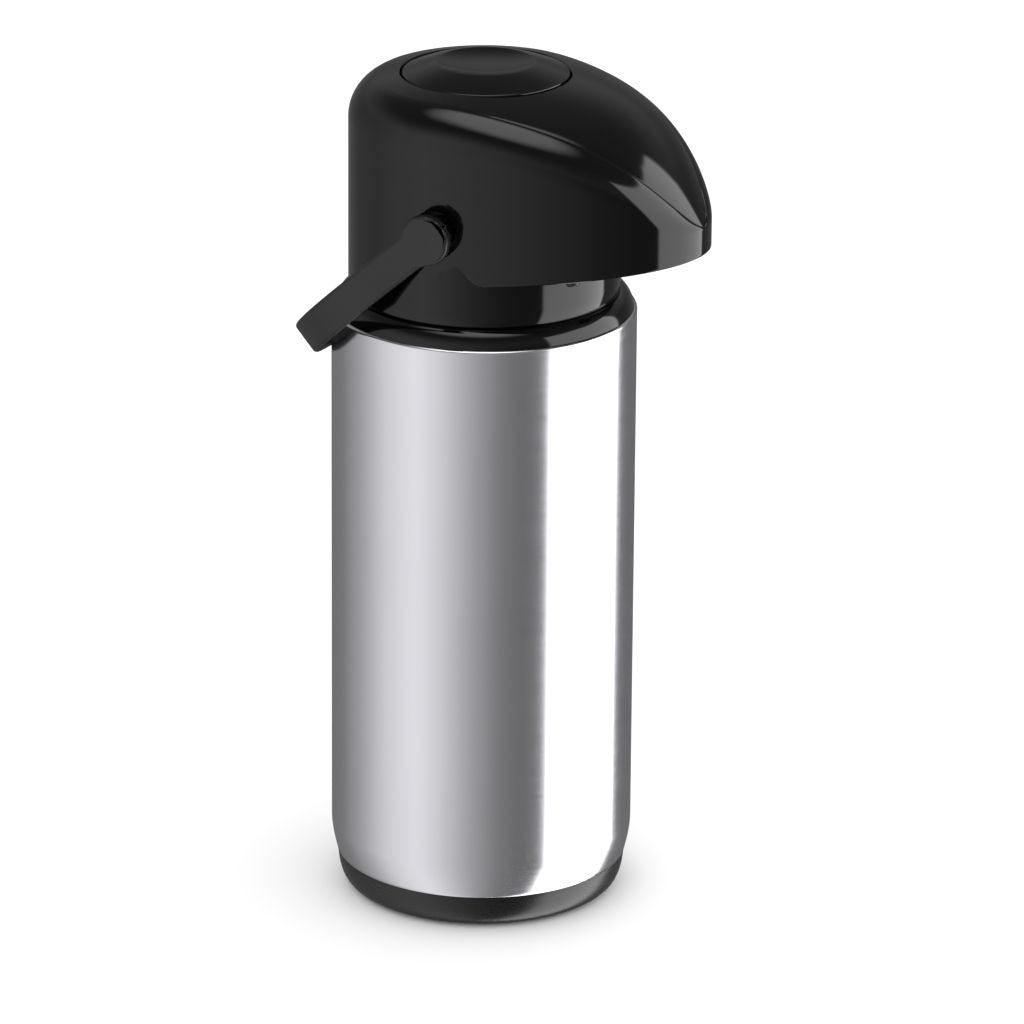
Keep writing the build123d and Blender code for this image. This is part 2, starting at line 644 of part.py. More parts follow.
def main():
    keep("steel_jacket", steel_jacket())
    keep("base_cup", base_cup())
    keep("foot_ring", foot_ring())
    keep("base_cap", base_cap())
    keep("flask_cushion", flask_cushion())
    keep("flask_outer_wall", flask_outer_wall())
    keep("flask_inner_wall", flask_inner_wall())
    keep("flask_spacers", *flask_spacers())
    keep("shoulder_collar", shoulder_collar())
    keep("neck_gasket", neck_gasket())
    keep("mouth_seal", mouth_seal())
    keep("neck_skirt", neck_skirt())
    keep("head_shell", head_shell())
    keep("beak_cover", beak_cover())
    keep("head_deck", head_deck())
    keep("spout_pipe", spout_pipe())
    keep("spout_nozzle", spout_nozzle())
    keep("siphon_tube", siphon_tube())
    keep("tube_grommet", tube_grommet())
    keep("valve_cage", valve_cage())
    keep("check_ball", check_ball())
    keep("bellows", bellows())
    keep("return_spring", return_spring())
    keep("bellows_plate", bellows_plate())
    keep("air_valve", air_valve())
    keep("push_pad", push_pad())
    keep("bail_handle", bail_handle())
    keep("trunnion_clips", *trunnion_clips())
    keep("cover_screws", *cover_screws())
    os.makedirs("parts", exist_ok=True)
    for name, solid in nodes.items():
        export_step(solid, f"parts/{name}.step")


main()
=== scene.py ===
import json
import math

import bpy
from mathutils import Matrix, Vector

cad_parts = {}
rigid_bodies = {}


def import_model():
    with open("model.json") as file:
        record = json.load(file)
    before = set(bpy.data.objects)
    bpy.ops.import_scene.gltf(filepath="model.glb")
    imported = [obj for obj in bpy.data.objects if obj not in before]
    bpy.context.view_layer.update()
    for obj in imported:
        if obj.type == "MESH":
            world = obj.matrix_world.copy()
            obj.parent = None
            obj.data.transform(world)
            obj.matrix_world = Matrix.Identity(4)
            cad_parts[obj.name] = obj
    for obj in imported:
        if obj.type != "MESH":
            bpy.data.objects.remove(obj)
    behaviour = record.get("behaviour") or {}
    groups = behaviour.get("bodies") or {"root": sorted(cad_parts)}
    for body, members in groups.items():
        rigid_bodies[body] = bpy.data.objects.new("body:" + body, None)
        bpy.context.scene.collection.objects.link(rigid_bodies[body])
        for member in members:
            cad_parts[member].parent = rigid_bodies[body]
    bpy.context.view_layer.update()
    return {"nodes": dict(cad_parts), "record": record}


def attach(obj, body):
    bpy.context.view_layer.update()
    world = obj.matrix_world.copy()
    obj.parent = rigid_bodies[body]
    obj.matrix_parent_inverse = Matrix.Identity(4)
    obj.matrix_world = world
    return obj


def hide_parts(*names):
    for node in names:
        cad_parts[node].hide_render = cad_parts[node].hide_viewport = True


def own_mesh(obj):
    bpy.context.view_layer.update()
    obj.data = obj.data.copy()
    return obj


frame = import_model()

mm = 0.001
for thing in bpy.data.objects:
    thing.select_set(False)
print("frame loaded")


def pickOnly(*things):
    bpy.ops.object.select_all(action="DESELECT")
    for thing in things:
        thing.select_set(True)
    bpy.context.view_layer.objects.active = things[0]


def editAll(thing):
    pickOnly(thing)
    bpy.ops.object.mode_set(mode="EDIT")
    bpy.ops.mesh.select_all(action="SELECT")


def backToObject():
    bpy.ops.object.mode_set(mode="OBJECT")


def tidyMesh(thing, smoothAngle=30, merge=0.00001):
    editAll(thing)
    bpy.ops.mesh.remove_doubles(threshold=merge)
    bpy.ops.mesh.normals_make_consistent(inside=False)
    backToObject()
    pickOnly(thing)
    bpy.ops.object.transform_apply(location=True, rotation=True, scale=True)
    bpy.ops.object.shade_smooth_by_angle(angle=math.radians(smoothAngle))


def applyModifiers(thing):
    pickOnly(thing)
    for modifier in list(thing.modifiers):
        bpy.ops.object.modifier_apply(modifier=modifier.name)


def roundStretch(centreR, centreZ, radius, fromDeg, toDeg, steps):
    # points of an arc in the (radius, height) plane, millimetres
    turns = [math.radians(fromDeg + (toDeg - fromDeg) * i / steps) for i in range(steps + 1)]
    return [(centreR + radius * math.cos(t), centreZ + radius * math.sin(t)) for t in turns]


def ringPiece(name, rings, sides=192):
    # a circle is drawn, then extruded and resized ring by ring, as a turned part is
    firstR, firstZ = rings[0]
    bpy.ops.mesh.primitive_circle_add(vertices=sides, radius=firstR * mm, location=(0, 0, firstZ * mm))
    piece = bpy.context.object
    piece.name = piece.data.name = name
    bpy.ops.object.mode_set(mode="EDIT")
    bpy.ops.mesh.select_all(action="SELECT")
    for (r0, z0), (r1, z1) in zip(rings, rings[1:]):
        bpy.ops.mesh.extrude_region_move(TRANSFORM_OT_translate={"value": (0, 0, (z1 - z0) * mm)})
        if r1 == 0:
            bpy.ops.mesh.merge(type="CENTER")
        else:
            bpy.ops.transform.resize(value=(r1 / r0, r1 / r0, 1))
    if rings[0] != rings[-1]:
        bpy.ops.mesh.select_all(action="SELECT")
        bpy.ops.mesh.fill_holes(sides=0)
    backToObject()
    tidyMesh(piece)
    return piece


def wrapGrid(name, across, around, place):
    # a flat grid is laid round the part: place(station, turn) says where each corner goes
    bpy.ops.mesh.primitive_grid_add(x_subdivisions=across, y_subdivisions=around, size=1)
    piece = bpy.context.object
    piece.name = piece.data.name = name
    for corner in piece.data.vertices:
        station = round((corner.co.x + 0.5) * across)
        corner.co = Vector(place(station, corner.co.y + 0.5)) * mm
    return piece


def newMaterial(name):
    material = bpy.data.materials.new(name)
    material.use_nodes = True
    nodes = material.node_tree.nodes
    shader = nodes["Principled BSDF"]
    place = nodes.new("ShaderNodeTexCoord")
    return material, nodes, material.node_tree.links, shader, place.outputs["Object"]


def noiseOn(nodes, links, place, scale, detail=4.0, stretch=(1, 1, 1), roughness=0.5):
    mapping = nodes.new("ShaderNodeMapping")
    mapping.inputs["Scale"].default_value = stretch
    links.new(place, mapping.inputs["Vector"])
    noise = nodes.new("ShaderNodeTexNoise")
    noise.inputs["Scale"].default_value = scale
    noise.inputs["Detail"].default_value = detail
    noise.inputs["Roughness"].default_value = roughness
    links.new(mapping.outputs["Vector"], noise.inputs["Vector"])
    return noise.outputs["Fac"]


def rangeOf(nodes, links, source, low, high, fromLow=0.3, fromHigh=0.7):
    ramp = nodes.new("ShaderNodeMapRange")
    ramp.inputs["From Min"].default_value = fromLow
    ramp.inputs["From Max"].default_value = fromHigh
    ramp.inputs["To Min"].default_value = low
    ramp.inputs["To Max"].default_value = high
    links.new(source, ramp.inputs["Value"])
    return ramp.outputs["Result"]


def bumpFrom(nodes, links, shader, source, strength, distance):
    bump = nodes.new("ShaderNodeBump")
    bump.inputs["Strength"].default_value = strength
    bump.inputs["Distance"].default_value = distance
    links.new(source, bump.inputs["Height"])
    links.new(bump.outputs["Normal"], shader.inputs["Normal"])
    return bump


def mixColour(nodes, links, source, low, high):
    ramp = nodes.new("ShaderNodeValToRGB")
    ramp.color_ramp.elements[0].position = 0.3
    ramp.color_ramp.elements[0].color = (*low, 1)
    ramp.color_ramp.elements[1].position = 0.7
    ramp.color_ramp.elements[1].color = (*high, 1)
    links.new(source, ramp.inputs["Fac"])
    return ramp.outputs["Color"]


steelLook = {"light": (0.74, 0.74, 0.77), "dark": (0.70, 0.70, 0.73), "roughLow": 0.15, "roughHigh": 0.21,
             "grain": 0.05}


def brushedSteel():
    # fine turning lines run round the jacket and spread reflections up and down
    material, nodes, links, shader, place = newMaterial("brushedSteel")
    lines = noiseOn(nodes, links, place, 40, 3, (1, 1, 90))
    broad = noiseOn(nodes, links, place, 9, 2)
    links.new(mixColour(nodes, links, broad, steelLook["dark"], steelLook["light"]), shader.inputs["Base Color"])
    links.new(
        rangeOf(nodes, links, lines, steelLook["roughLow"], steelLook["roughHigh"]), shader.inputs["Roughness"]
    )
    shader.inputs["Metallic"].default_value = 1.0
    bumpFrom(nodes, links, shader, lines, steelLook["grain"], 0.0004)
    return material


glossLook = {"deep": (0.0008, 0.0008, 0.0009), "lift": (0.0016, 0.0016, 0.0017), "roughLow": 0.06,
             "roughHigh": 0.10, "ripple": 0.02, "ior": 1.43}


def glossBlack():
    # polished moulded plastic: a very slight ripple and a faint bloom in the colour
    material, nodes, links, shader, place = newMaterial("glossBlack")
    cloud = noiseOn(nodes, links, place, 14, 3)
    ripple = noiseOn(nodes, links, place, 320, 2)
    links.new(mixColour(nodes, links, cloud, glossLook["deep"], glossLook["lift"]), shader.inputs["Base Color"])
    links.new(
        rangeOf(nodes, links, cloud, glossLook["roughLow"], glossLook["roughHigh"]), shader.inputs["Roughness"]
    )
    shader.inputs["IOR"].default_value = glossLook["ior"]
    bumpFrom(nodes, links, shader, ripple, glossLook["ripple"], 0.0001)
    return material


satinLook = {"deep": (0.0045, 0.0045, 0.0048), "lift": (0.0065, 0.0065, 0.0068), "roughLow": 0.34,
             "roughHigh": 0.44, "grain": 0.2}
recessLook = {"deep": (0.0008, 0.0008, 0.0008), "lift": (0.0012, 0.0012, 0.0012), "roughLow": 0.55,
              "roughHigh": 0.6, "grain": 0.1}
baseLook = {"deep": (0.002, 0.002, 0.0021), "lift": (0.0035, 0.0035, 0.0036), "roughLow": 0.24,
            "roughHigh": 0.30, "grain": 0.12}


def satinBlack(name="satinBlack", look=satinLook):
    # fine spark-eroded grain on moulded plastic
    material, nodes, links, shader, place = newMaterial(name)
    grain = noiseOn(nodes, links, place, 1800, 2)
    cloud = noiseOn(nodes, links, place, 22, 3)
    links.new(mixColour(nodes, links, cloud, look["deep"], look["lift"]), shader.inputs["Base Color"])
    links.new(rangeOf(nodes, links, grain, look["roughLow"], look["roughHigh"]), shader.inputs["Roughness"])
    bumpFrom(nodes, links, shader, grain, look["grain"], 0.00008)
    return material


rubberLook = {"deep": (0.010, 0.010, 0.010), "lift": (0.018, 0.018, 0.018), "roughLow": 0.6,
              "roughHigh": 0.75, "grain": 0.4}
greyLook = {"deep": (0.045, 0.045, 0.048), "lift": (0.06, 0.06, 0.064), "roughLow": 0.38,
            "roughHigh": 0.48, "grain": 0.2}
naturalLook = {"deep": (0.62, 0.62, 0.58), "lift": (0.72, 0.72, 0.69), "roughLow": 0.3,
               "roughHigh": 0.42, "grain": 0.15}
siliconeLook = {"deep": (0.55, 0.54, 0.50), "lift": (0.66, 0.65, 0.61), "roughLow": 0.42,
                "roughHigh": 0.55, "grain": 0.2}
feltLook = {"deep": (0.30, 0.28, 0.25), "lift": (0.52, 0.49, 0.44), "roughLow": 0.9,
            "roughHigh": 1.0, "grain": 0.9}


def milkyPlastic(name, look):
    # unpigmented plastic or silicone lets a little light in below the surface
    material = satinBlack(name, look)
    shader = material.node_tree.nodes["Principled BSDF"]
    shader.inputs["Subsurface Weight"].default_value = 0.25
    shader.inputs["Subsurface Scale"].default_value = 0.002
    return material


def silveredGlass():
    # glass with silver behind it: bright metal under a clear coat, a little uneven
    material, nodes, links, shader, place = newMaterial("silveredGlass")
    wave = noiseOn(nodes, links, place, 18, 3)
    links.new(mixColour(nodes, links, wave, (0.78, 0.79, 0.80), (0.90, 0.90, 0.89)), shader.inputs["Base Color"])
    links.new(rangeOf(nodes, links, wave, 0.04, 0.09), shader.inputs["Roughness"])
    shader.inputs["Metallic"].default_value = 1.0
    shader.inputs["Coat Weight"].default_value = 1.0
    shader.inputs["Coat Roughness"].default_value = 0.02
    bumpFrom(nodes, links, shader, wave, 0.12, 0.002)
    return material


def springSteel():
    material, nodes, links, shader, place = newMaterial("springSteel")
    drawn = noiseOn(nodes, links, place, 260, 3)
    links.new(mixColour(nodes, links, drawn, (0.42, 0.42, 0.43), (0.56, 0.56, 0.58)), shader.inputs["Base Color"])
    links.new(rangeOf(nodes, links, drawn, 0.18, 0.32), shader.inputs["Roughness"])
    shader.inputs["Metallic"].default_value = 1.0
    bumpFrom(nodes, links, shader, drawn, 0.15, 0.0001)
    return material


steel = brushedSteel()
gloss = glossBlack()
satin = satinBlack()
rubber = satinBlack("blackRubber", rubberLook)
greyPlastic = satinBlack("greyPlastic", greyLook)
naturalPlastic = milkyPlastic("naturalPlastic", naturalLook)
silicone = milkyPlastic("silicone", siliconeLook)
felt = satinBlack("feltPad", feltLook)
silvered = silveredGlass()
sprung = springSteel()
slotMaterials = {
    "brushed_steel": steel, "black_gloss": gloss, "black_satin": satin, "black_rubber": rubber,
    "grey_plastic": greyPlastic, "natural_plastic": naturalPlastic, "silicone": silicone,
    "silvered_glass": silvered, "spring_steel": sprung, "felt": felt,
}


def dress(piece, slotName, body, *stands):
    piece.data.materials.clear()
    piece.data.materials.append(slotMaterials[slotName])
    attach(piece, body)
    if stands:
        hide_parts(*stands)


for part in frame["record"]["subparts"]:
    node = frame["nodes"][part["node"]]
    node.data.materials.clear()
    node.data.materials.append(slotMaterials[part["material_slot"]])
print("materials made")


jacketSize = {"radius": 60.0, "wall": 0.6, "low": 14.4, "high": 243.0, "tuckRadius": 57.7, "tuckHeight": 13.0,
              "rimRoll": 1.3, "sides": 256}


def steelJacket():
    s = jacketSize
    r, roll = s["radius"], s["rimRoll"]
    knee = s["low"] + s["tuckHeight"]
    tuck = []
    for i in range(13):  # the foot is rolled in along a gentle curve
        part = i / 12
        tuck.append((r - (r - s["tuckRadius"]) * (1 - part) ** 1.6, s["low"] + s["tuckHeight"] * part))
    wall = [(r, knee + (s["high"] - roll - knee) * i / 12) for i in range(1, 13)]
    rim = roundStretch(r - roll, s["high"] - roll, roll, 8, 172, 12)
    inside = [(r - 2 * roll, s["high"] - roll - 1.0), (r - 2 * roll + 0.7, s["high"] - roll - 2.2),
              (r - s["wall"], s["high"] - 8), (r - s["wall"], knee), (s["tuckRadius"] - s["wall"], s["low"] + 0.2)]
    foot = roundStretch(s["tuckRadius"] - s["wall"] / 2, s["low"] + 0.3, s["wall"] / 2, 200, 340, 5)
    return ringPiece("steelJacket", foot + tuck[1:] + wall + rim + inside + foot[:1], s["sides"])


dress(steelJacket(), "brushed_steel", "vessel", "steel_jacket")

baseSize = {"floor": 0.6, "ringIn": 44.9, "ringOut": 50.6, "capRadius": 25.2, "sides": 192}


def baseCup():
    s = baseSize
    outside = [(57.45, 14.25), (57.5, 13.6), (57.35, 12.0), (57.15, 10.2), (56.8, 8.2), (56.25, 6.2),
               (55.5, 4.4), (54.6, 2.9), (53.5, 1.75), (52.3, 1.0), (51.4, 0.7)]
    under = [(s["ringOut"], s["floor"]), (s["ringOut"], 2.2), (s["ringIn"], 2.2), (s["ringIn"], s["floor"]),
             (44.3, s["floor"]), (43.6, 1.3), (38.0, 1.3), (37.4, s["floor"]), (31.0, s["floor"]), (30.4, 1.2),
             (s["capRadius"] + 1.2, 1.2), (s["capRadius"], 1.8), (s["capRadius"], 19.8)]
    inside = [(28.0, 19.8), (28.4, 3.8), (50.0, 3.8), (53.6, 7.0), (55.0, 12.0), (54.9, 31.9), (56.8, 31.9),
              (56.8, 14.25), (57.45, 14.25)]
    return ringPiece("baseCup", outside + under + inside, s["sides"])


base = baseCup()
dress(base, "black_gloss", "vessel", "base_cup")
base.data.materials[0] = satinBlack("baseBlack", baseLook)

footSize = {"inner": 45.0, "outer": 50.5, "height": 2.1, "round": 0.5, "sides": 160}


def footRing():
    s = footSize
    r = s["round"]
    outerEdge = roundStretch(s["outer"] - r, r, r, 0, -90, 5)
    innerEdge = roundStretch(s["inner"] + r, r, r, 270, 180, 5)
    middle = (s["inner"] + s["outer"]) / 2
    groove = [(middle + 0.6, 0), (middle + 0.3, 0.4), (middle - 0.3, 0.4), (middle - 0.6, 0)]
    return ringPiece(
        "footRing",
        [(s["outer"], s["height"])] + outerEdge + groove + innerEdge + [(s["inner"], s["height"]),
                                                                        (s["outer"], s["height"])],
        s["sides"],
    )


dress(footRing(), "black_rubber", "vessel", "foot_ring")

shoulderSize = {"start": (58.9, 243.1), "middle": (57.1, 247.4), "end": (54.3, 249.9), "sides": 224}


def shoulderCollar():
    # convex glossy ring between the jacket's rim and the neck, then the screw upstand and the funnel
    crown = []
    start, mid, end = (shoulderSize[point] for point in ("start", "middle", "end"))
    for i in range(13):
        t = i / 12
        crown.append(tuple(
            (1 - t) ** 2 * a + 2 * t * (1 - t) * (2 * b - (a + c) / 2) + t * t * c
            for a, b, c in zip(start, mid, end)
        ))
    upstand = [(53.9, 250.0), (44.6, 250.0), (44.0, 250.4)]
    for turnZ in (252.6, 256.2):  # screw ridges
        upstand += [(44.0, turnZ - 0.9), (44.7, turnZ - 0.3), (44.7, turnZ + 0.5), (44.0, turnZ + 1.1)]
    upstand += roundStretch(43.3, 258.8, 0.7, 0, 90, 4) + roundStretch(41.6, 258.9, 0.6, 90, 180, 4)
    funnel = [(41.0, 250.2), (26.0, 237.9), (25.5, 237.2), (25.5, 235.4), (30.5, 235.4), (42.4, 247.0),
              (55.2, 247.0), (57.2, 226.0), (59.2, 226.0), (59.2, 239.0), (58.2, 240.0), (57.2, 242.0),
              (57.2, 243.1), (58.9, 243.1)]
    return ringPiece("shoulderCollar", crown + upstand + funnel, shoulderSize["sides"])


dress(shoulderCollar(), "black_gloss", "vessel", "shoulder_collar")
print("vessel made")


headSize = {
    "neckRadius": 53.4, "neckLow": 250.3, "beak": 93.75, "wall": 2.4,
    "underAtAxis": 264.8, "underSlope": 0.1215, "corner": 10.0, "cornerAt": 14.5,
    "creaseRadius": 43.2, "creaseLength": 93.2, "creaseHeight": 335.64,
    "wallTopBack": 319.8, "wallTopTip": 286.8,
    "lipReach": 4.8, "lipHigh": 0.05, "creaseWide": 0.4, "creaseDeep": 0.1, "blendLow": 262.0, "pocket": 2.6,
    "holeRadius": 33.4, "wellLow": 314.0, "edgeRound": 0.8, "columns": 288,
    "recessRadius": 9.8, "recessFloor": 46.5, "pivotHeight": 286.8, "pivotAhead": 3.5,
}


def creaseHalfWidth(s):
    return headSize["creaseRadius"] * max(0.0, 1 - (s / headSize["creaseLength"]) ** 2) ** 0.625


def creaseHeight(s):
    u = max(0.0, s) / headSize["creaseLength"]
    return headSize["creaseHeight"] - 47.7 * u**2 + 59.76 * u**3 - 59.88 * u**4


def wallTop(s):
    u = min(1.0, max(0.0, s) / headSize["beak"])
    low, high = headSize["wallTopTip"], headSize["wallTopBack"]
    return low + (high - low) * (1 - u**2.2) * (1 - u**14)


def topHeight(s, q):
    if s <= 0:
        return headSize["creaseHeight"] + 5.2 * (1 - (s * s + q * q) / headSize["creaseRadius"] ** 2)
    u = min(1.0, s / headSize["creaseLength"])
    width = max(creaseHalfWidth(s), 0.01)
    side = min(1.0, abs(q) / width)
    return creaseHeight(s) + (5.2 + 6 * u * u) * (1 - u**4) * (1 - side**2)


def lowEdge(s):
    corner = headSize["corner"]
    base = headSize["underAtAxis"] + headSize["underSlope"] * s
    start = headSize["cornerAt"]
    if s >= start + corner:
        return base
    foot = headSize["underAtAxis"] + headSize["underSlope"] * (start + corner)
    reach = corner - max(0.0, s - start)
    return foot + corner - math.sqrt(max(0.0, corner**2 - reach**2))


def headStations(turn):
    # the head's skin down one column, from the pad's well over the top, down the wall and up inside
    z = headSize
    angle = 2 * math.pi * turn
    forward, aside = math.sin(angle), math.cos(angle)
    ahead = forward > 0
    neckR, wall = z["neckRadius"], z["wall"]
    wallS = (z["beak"] if ahead else neckR) * forward
    wallQ = neckR * aside
    creaseS = (z["creaseLength"] if ahead else z["creaseRadius"]) * forward
    creaseQ = z["creaseRadius"] * (abs(aside) ** 1.25 * (1 if aside > 0 else -1) if ahead else aside)
    if ahead:
        nS, nQ = wallS / z["beak"] ** 2, wallQ / neckR**2
    else:
        nS, nQ = forward, aside
    length = math.hypot(nS, nQ)
    nS, nQ = nS / length, nQ / length
    creaseZ = creaseHeight(creaseS) if ahead else z["creaseHeight"]
    topZ = min(wallTop(wallS), creaseZ - 0.8)
    hole = z["holeRadius"]
    out = []

    def put(s, q, height):
        out.append((q, -s, height))

    def putRound(r, height):
        put(r * forward, r * aside, height)

    creaseAway = math.hypot(creaseS - (hole + 0.6) * forward, creaseQ - (hole + 0.6) * aside)
    holeZ = topHeight((hole + 0.6) * forward, (hole + 0.6) * aside)
    putRound(hole, z["wellLow"])
    putRound(hole, holeZ - 6)
    for lift in (0, 30, 60, 90):
        a = math.radians(lift)
        putRound(hole + 0.6 * (1 - math.cos(a)), holeZ - 0.6 + 0.6 * math.sin(a))
    for step in (0.04, 0.15, 0.3, 0.45, 0.6, 0.74, 0.86, 1 - z["creaseWide"] / creaseAway):
        s = (hole + 0.6) * forward * (1 - step) + creaseS * step
        q = (hole + 0.6) * aside * (1 - step) + creaseQ * step
        put(s, q, topHeight(s, q))
    wide = math.hypot(wallS - creaseS, wallQ - creaseQ)
    dirS, dirQ = (wallS - creaseS) / wide, (wallQ - creaseQ) / wide
    high = creaseZ - topZ
    bend = (wide**2 + high**2) / (2 * wide)
    full = math.asin(min(1.0, high / bend))
    if wide > high:
        full = math.pi - full
    beside = 1 - min(0.05, z["creaseWide"] / (bend * full))
    for part in (1.0, beside, 0.9, 0.8, 0.7, 0.6, 0.5, 0.4, 0.3, 0.2, 0.1, 0.04, 0.0):
        a = full * part
        inward = bend * (1 - math.cos(a))
        sunk = z["creaseDeep"] if part == 1.0 else 0.0
        put(wallS - dirS * inward, wallQ - dirQ * inward, topZ + bend * math.sin(a) - sunk)
    low = lowEdge(wallS)
    gap = math.hypot(wallS, wallQ) - neckR if ahead else 0.0
    edge = min(z["edgeRound"], 0.4 * gap) if ahead else z["edgeRound"]
    k = 1.0 if wallS > z["cornerAt"] - 0.01 else 0.0
    for row in range(1, 16):
        put(wallS, wallQ, topZ + (low + edge - topZ) * row / 16)
    put(wallS, wallQ, low + edge + 0.15)
    neckS, neckQ = neckR * forward, neckR * aside
    blendLow = z["blendLow"]

    def putBlended(t, sBeak, qBeak, heightBeak):
        # ahead of the corner this is the beak's underside, behind it the flank runs into the neck
        span = 1 - 0.93 * max(0.0, min(1.0, wallS / z["cornerAt"])) ** 2
        t = t * span
        ease = (t / span) ** 2 * (3 - 2 * t / span)
        sNeck, qNeck = wallS + (neckS - wallS) * ease, wallQ + (neckQ - wallQ) * ease
        put(sNeck + (sBeak - sNeck) * k, qNeck + (qBeak - qNeck) * k,
            (low + (blendLow - low) * t) * (1 - k) + heightBeak * k)

    for t, lift in ((0.04, 0), (0.12, 30), (0.2, 60), (0.3, 90)):
        a = math.radians(lift)
        inward = edge * (1 - math.cos(a))
        putBlended(t, wallS - nS * inward, wallQ - nQ * inward, low + edge * (1 - math.sin(a)))
    lip = min(wall, 0.55 * gap) if ahead else 0.0
    pocket = z["pocket"] * max(0.0, min(1.0, (gap - 3.0) / 2.0))
    neckZ = lowEdge(neckS) + pocket
    putBlended(0.4, wallS - nS * lip, wallQ - nQ * lip, low)
    putBlended(0.5, wallS - nS * lip, wallQ - nQ * lip, low + pocket)
    putBlended(0.6, neckS, neckQ, neckZ)
    putBlended(0.75, neckS, neckQ, neckZ * 0.6 + blendLow * 0.4)
    putBlended(0.9, neckS, neckQ, neckZ * 0.2 + blendLow * 0.8)
    putRound(neckR, blendLow)
    putRound(neckR, 256.0)
    for lift in (0, 45, 90):
        a = math.radians(lift)
        putRound(neckR - 0.3 * (1 - math.cos(a)), z["neckLow"] + 0.3 * (1 - math.sin(a)))
    putRound(neckR - wall + 0.2, z["neckLow"])
    putRound(neckR - wall, z["neckLow"] + 0.2)
    putRound(neckR - wall, 284.0)
    innerR = neckR - wall
    put((wallS - nS * wall) * k + innerR * forward * (1 - k), (wallQ - nQ * wall) * k + innerR * aside * (1 - k),
        max(286.0, low + 6.0) if low + 6 < topZ - 4 else topZ - 4)
    put(wallS - nS * wall * 1.05, wallQ - nQ * wall * 1.05, topZ - 1.0)
    put(creaseS * 0.965 - dirS, creaseQ * 0.93, creaseZ - 3.0)
    putRound(hole + 2.2, holeZ - 3.0)
    putRound(hole + 2.2, z["wellLow"])
    putRound(hole, z["wellLow"])
    return out


def headTurns():
    # columns stand evenly round the head, and closer together where the beak's lower corner starts
    columns, start = headSize["columns"], headSize["cornerAt"]
    turns = [column / columns for column in range(columns)]
    for beyond in (-0.4, -0.02, 0.0, 0.02, 0.08, 0.25, 0.5, 0.8, 1.2, 1.7, 2.3, 3.0, 3.8, 4.8, 5.9, 7.1, 8.5,
                   9.9):
        lean = math.asin((start + beyond) / headSize["beak"]) / (2 * math.pi)
        turns += [lean, 0.5 - lean]
    turns.sort()
    spaced = [turns[0]]
    for turn in turns[1:]:
        if turn - spaced[-1] > 0.00002:
            spaced.append(turn)
    return spaced + [spaced[0]]


def wallAside(s):
    # how far the upright wall stands from the middle plane, s ahead of the axis
    z = headSize
    if s > 0:
        return z["neckRadius"] * math.sqrt(1 - (s / z["beak"]) ** 2)
    return math.sqrt(z["neckRadius"] ** 2 - s * s)


def fromPivot(spot):
    # how far a point stands from the handle's pivot, seen from the side
    return math.hypot(-spot.y / mm - headSize["pivotAhead"], spot.z / mm - headSize["pivotHeight"])


def headShell():
    turns = headTurns()
    skins = [headStations(turn) for turn in turns]
    across, around = len(skins[0]) - 1, len(turns) - 1
    shell = wrapGrid("headShell", across, around, lambda station, turn: skins[round(turn * around)][station])
    tidyMesh(shell, 24, 0.000002)
    z = headSize
    pickOnly(shell)
    bpy.ops.object.duplicate()
    uncut = bpy.context.object
    for side in (-1, 1):  # round recess for the handle's trunnion
        bpy.ops.mesh.primitive_cylinder_add(
            vertices=72, radius=z["recessRadius"] * mm, depth=14 * mm,
            location=(side * (z["recessFloor"] + 7) * mm, -z["pivotAhead"] * mm, z["pivotHeight"] * mm),
            rotation=(0, math.pi / 2, 0),
        )
        cutter = bpy.context.object
        cut = shell.modifiers.new("recess", "BOOLEAN")
        cut.operation, cut.solver, cut.object = "DIFFERENCE", "EXACT", cutter
        applyModifiers(shell)
        bpy.data.objects.remove(cutter)
    pickOnly(shell)
    bpy.ops.object.shade_smooth_by_angle(angle=math.radians(24))
    nearRecess = shell.vertex_groups.new(name="nearRecess")
    for corner in shell.data.vertices:  # the flat of the wall keeps its shading up to the recess
        x, s = abs(corner.co.x) / mm, -corner.co.y / mm
        if fromPivot(corner.co) < z["recessRadius"] + 8 and x > wallAside(s) - 0.3:
            nearRecess.add([corner.index], 1.0, "REPLACE")
    keep = shell.modifiers.new("wallShading", "DATA_TRANSFER")
    keep.object, keep.use_loop_data, keep.vertex_group = uncut, True, "nearRecess"
    keep.data_types_loops = {"CUSTOM_NORMAL"}
    keep.loop_mapping = "POLYINTERP_NEAREST"
    applyModifiers(shell)
    bpy.data.objects.remove(uncut)
    return shell


dress(headShell(), "black_gloss", "head", "head_shell", "neck_skirt")


